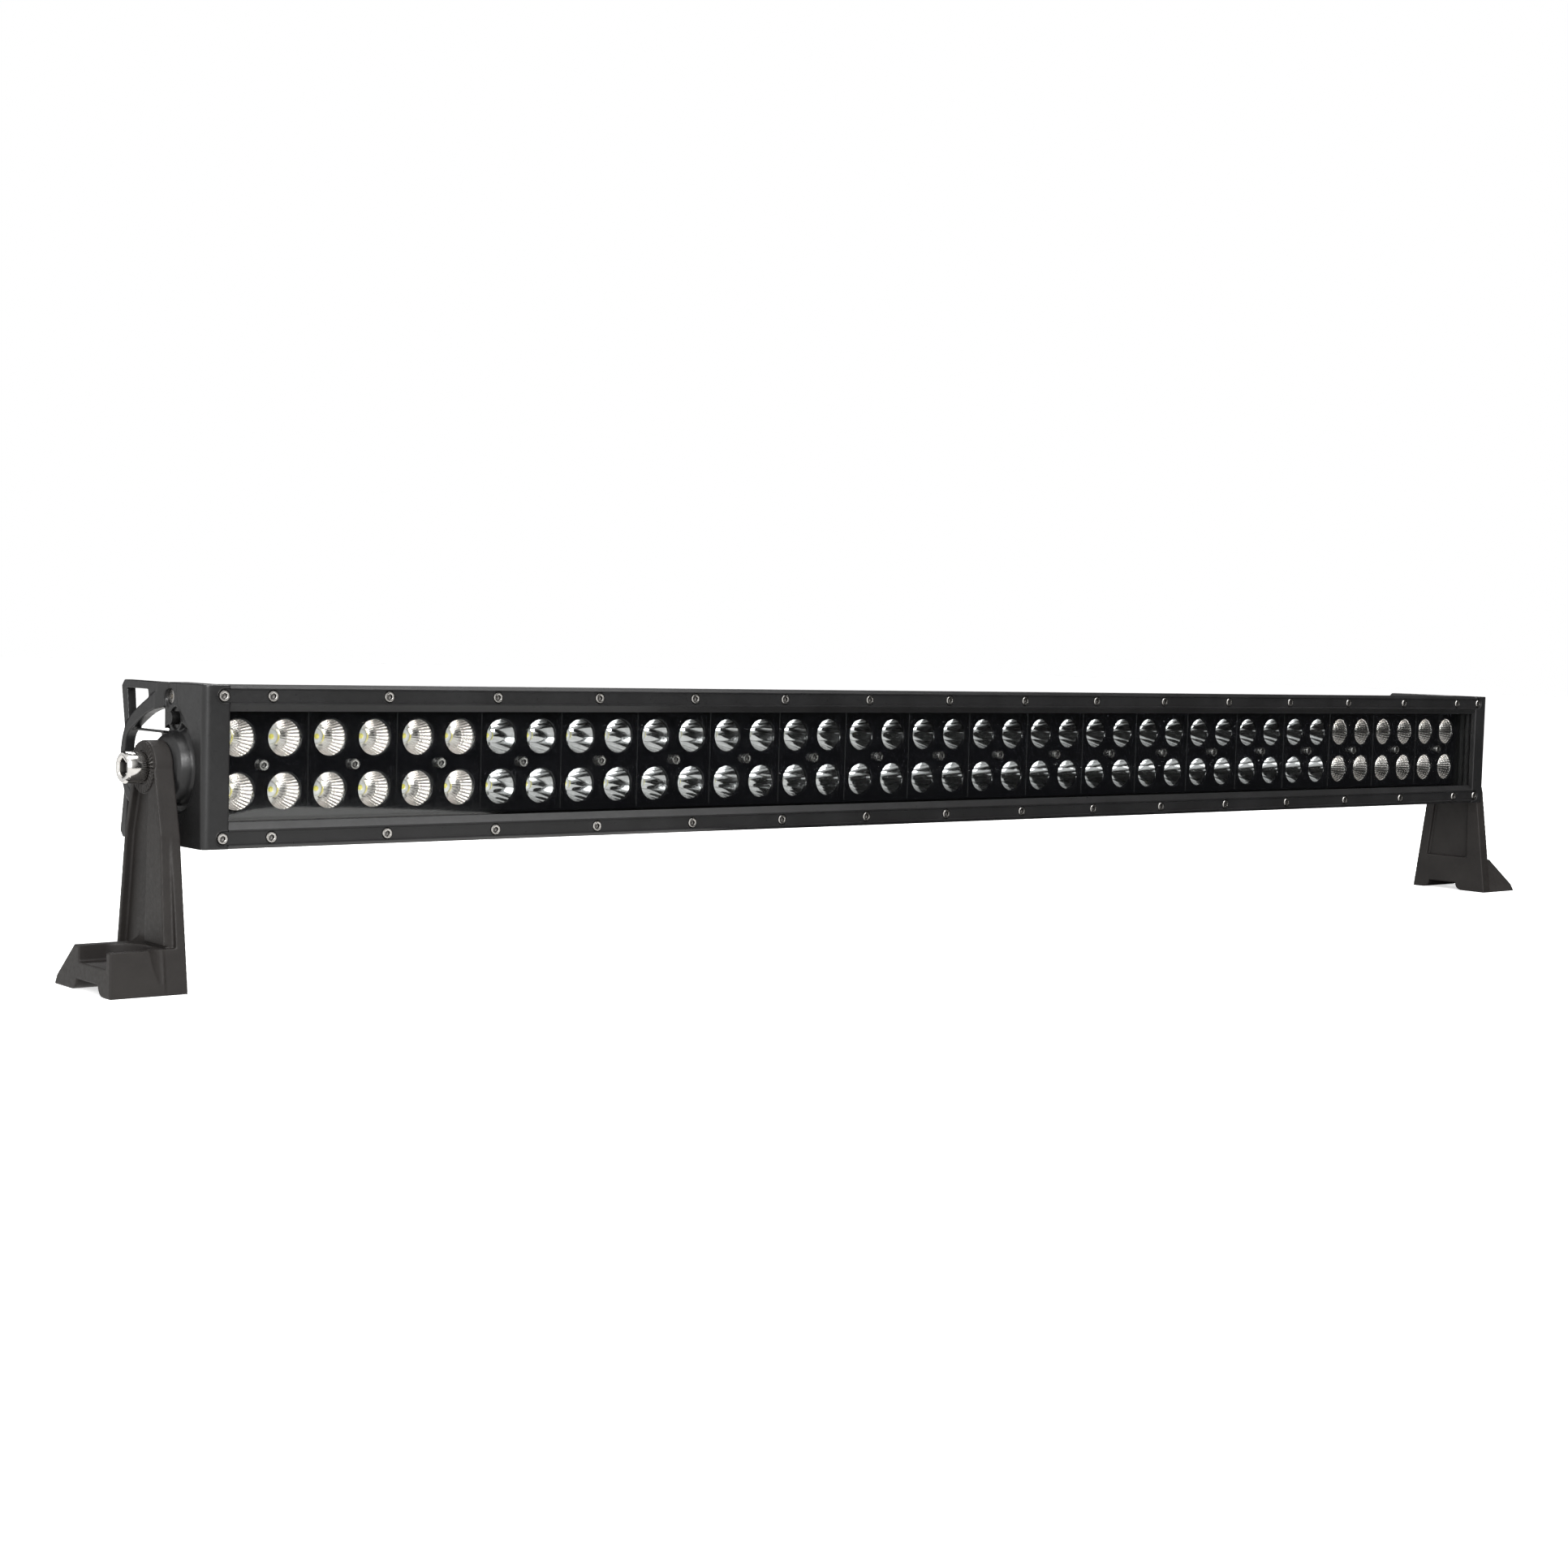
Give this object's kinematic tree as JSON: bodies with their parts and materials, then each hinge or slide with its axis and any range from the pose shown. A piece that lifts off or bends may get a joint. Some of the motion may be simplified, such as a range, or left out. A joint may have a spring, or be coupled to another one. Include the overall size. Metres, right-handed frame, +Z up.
{
  "type": "led light bar",
  "caption": "Straight double-row LED work light bar with finned housing, clear lens and two cast foot brackets that tilt on socket screws",
  "frame": {"origin": "on the surface under the two feet, at the middle of the bounding box", "axes": "+X along the bar, -Y is the lit front, +Z up"},
  "size_m": [1.1466, 0.088, 0.1493],
  "materials": {
    "black_housing": "satin powder coat",
    "black_bracket": "satin powder coat over a casting",
    "clear_lens": "polished polycarbonate",
    "black_rubber": "matte",
    "reflector_chrome": "vacuum metallised",
    "face_black": "gloss",
    "board_white": "white solder mask",
    "led_yellow": "phosphor under silicone",
    "stainless": "stainless",
    "polished_stainless": "polished stainless",
    "black_plastic": "moulded nylon",
    "board_green": "solder mask",
    "component_grey": "moulded"
  },
  "bodies": {
    "light_bar": {"housing": "black_housing", "top_rail": "black_housing", "bottom_rail": "black_housing", "lens": "clear_lens", "lens_gasket": "black_rubber", "reflector_01": "reflector_chrome", "reflector_02": "reflector_chrome", "reflector_03": "reflector_chrome", "reflector_04": "reflector_chrome", "reflector_05": "reflector_chrome", "reflector_06": "reflector_chrome", "reflector_07": "reflector_chrome", "reflector_08": "reflector_chrome", "reflector_09": "reflector_chrome", "reflector_10": "reflector_chrome", "reflector_11": "reflector_chrome", "reflector_12": "reflector_chrome", "reflector_13": "reflector_chrome", "reflector_14": "reflector_chrome", "reflector_15": "reflector_chrome", "reflector_16": "reflector_chrome", "reflector_17": "reflector_chrome", "reflector_18": "reflector_chrome", "reflector_19": "reflector_chrome", "reflector_20": "reflector_chrome", "led_board_1": "board_white", "led_board_2": "board_white", "led_board_3": "board_white", "led_board_4": "board_white", "led_board_5": "board_white", "led_emitters": "led_yellow", "reflector_screws": "stainless", "top_rail_screws": "stainless", "bottom_rail_screws": "stainless", "end_cap_left": "black_housing", "end_cap_right": "black_housing", "end_cap_gasket_left": "black_rubber", "end_cap_gasket_right": "black_rubber", "end_cap_screws": "stainless", "vent_plug_left": "black_plastic", "vent_plug_right": "black_plastic", "driver_board": "board_green", "driver_components": "component_grey", "cable_gland": "black_plastic", "gland_nut": "black_plastic", "tilt_bolt_left": "polished_stainless", "tilt_bolt_right": "polished_stainless", "tilt_washer_left": "stainless", "tilt_washer_right": "stainless"},
    "left_bracket": {"bracket_left": "black_bracket"},
    "right_bracket": {"bracket_right": "black_bracket"}
  },
  "joints": [
    {"name": "left_bracket_tilt", "type": "hinge", "parent": "light_bar", "child": "left_bracket", "pos_m": [-0.5333, -0.012, 0.108], "axis": [1, 0, 0], "continuous": true},
    {"name": "right_bracket_tilt", "type": "hinge", "parent": "light_bar", "child": "right_bracket", "pos_m": [0.5333, -0.012, 0.108], "axis": [1, 0, 0], "continuous": true}
  ]
}
